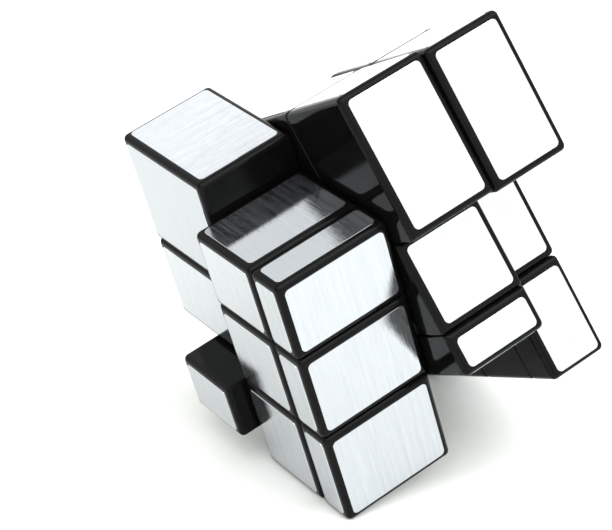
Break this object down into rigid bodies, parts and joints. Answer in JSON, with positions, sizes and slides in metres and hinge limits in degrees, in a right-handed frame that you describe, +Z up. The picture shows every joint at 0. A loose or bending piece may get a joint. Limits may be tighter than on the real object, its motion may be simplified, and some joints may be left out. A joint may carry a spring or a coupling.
{
  "type": "mirror block cube puzzle",
  "caption": "Shape-shifting twisty cube puzzle of black blocks of unequal sizes faced with brushed silver foil, scrambled and part-turned, leaning on an edge and a corner.",
  "frame": {"origin": "centre of the bounding box, at the surface that the leaning puzzle stands on", "axes": "+Z up; the layers turn about an axis that leans in the X-Z plane, rising towards +X; -X is the side of the left layer's outer face and -Y the side that its thinnest blocks face"},
  "size_m": [0.0748, 0.07, 0.0939],
  "materials": {
    "black_plastic": "glossy moulded plastic",
    "foil": "brushed silver mirror foil",
    "core_plastic": "matte moulded plastic",
    "screw_steel": "bright zinc plated",
    "spring_steel": "spring wire"
  },
  "bodies": {
    "middle_layer": {"core": "core_plastic", "screws": "screw_steel", "springs": "spring_steel", "washers": "screw_steel", "centre_bases_middle": "core_plastic", "cap_front": "black_plastic", "cap_back": "black_plastic", "cap_top": "black_plastic", "cap_bottom": "black_plastic", "edge_front_top": "black_plastic", "edge_front_bottom": "black_plastic", "edge_back_top": "black_plastic", "edge_back_bottom": "black_plastic", "edge_feet_middle": "core_plastic", "foils_middle": "foil"},
    "left_layer": {"centre_base_left": "core_plastic", "cap_left": "black_plastic", "corner_left_front_top": "black_plastic", "corner_left_front_bottom": "black_plastic", "corner_left_back_top": "black_plastic", "corner_left_back_bottom": "black_plastic", "edge_left_front": "black_plastic", "edge_left_top": "black_plastic", "edge_left_bottom": "black_plastic", "edge_left_back": "black_plastic", "corner_feet_left": "core_plastic", "edge_feet_left": "core_plastic", "foils_left": "foil"},
    "right_layer": {"centre_base_right": "core_plastic", "cap_right": "black_plastic", "corner_right_front_top": "black_plastic", "corner_right_front_bottom": "black_plastic", "corner_right_back_top": "black_plastic", "corner_right_back_bottom": "black_plastic", "edge_right_front": "black_plastic", "edge_right_top": "black_plastic", "edge_right_bottom": "black_plastic", "edge_right_back": "black_plastic", "corner_feet_right": "core_plastic", "edge_feet_right": "core_plastic", "foils_right": "foil"}
  },
  "joints": [
    {"name": "left_turn", "type": "hinge", "parent": "middle_layer", "child": "left_layer", "pos_m": [0.00301, -0.00349, 0.03905], "axis": [0.9535, 0, 0.3014], "continuous": true},
    {"name": "right_turn", "type": "hinge", "parent": "middle_layer", "child": "right_layer", "pos_m": [0.00301, -0.00349, 0.03905], "axis": [0.9535, 0, 0.3014], "continuous": true}
  ]
}
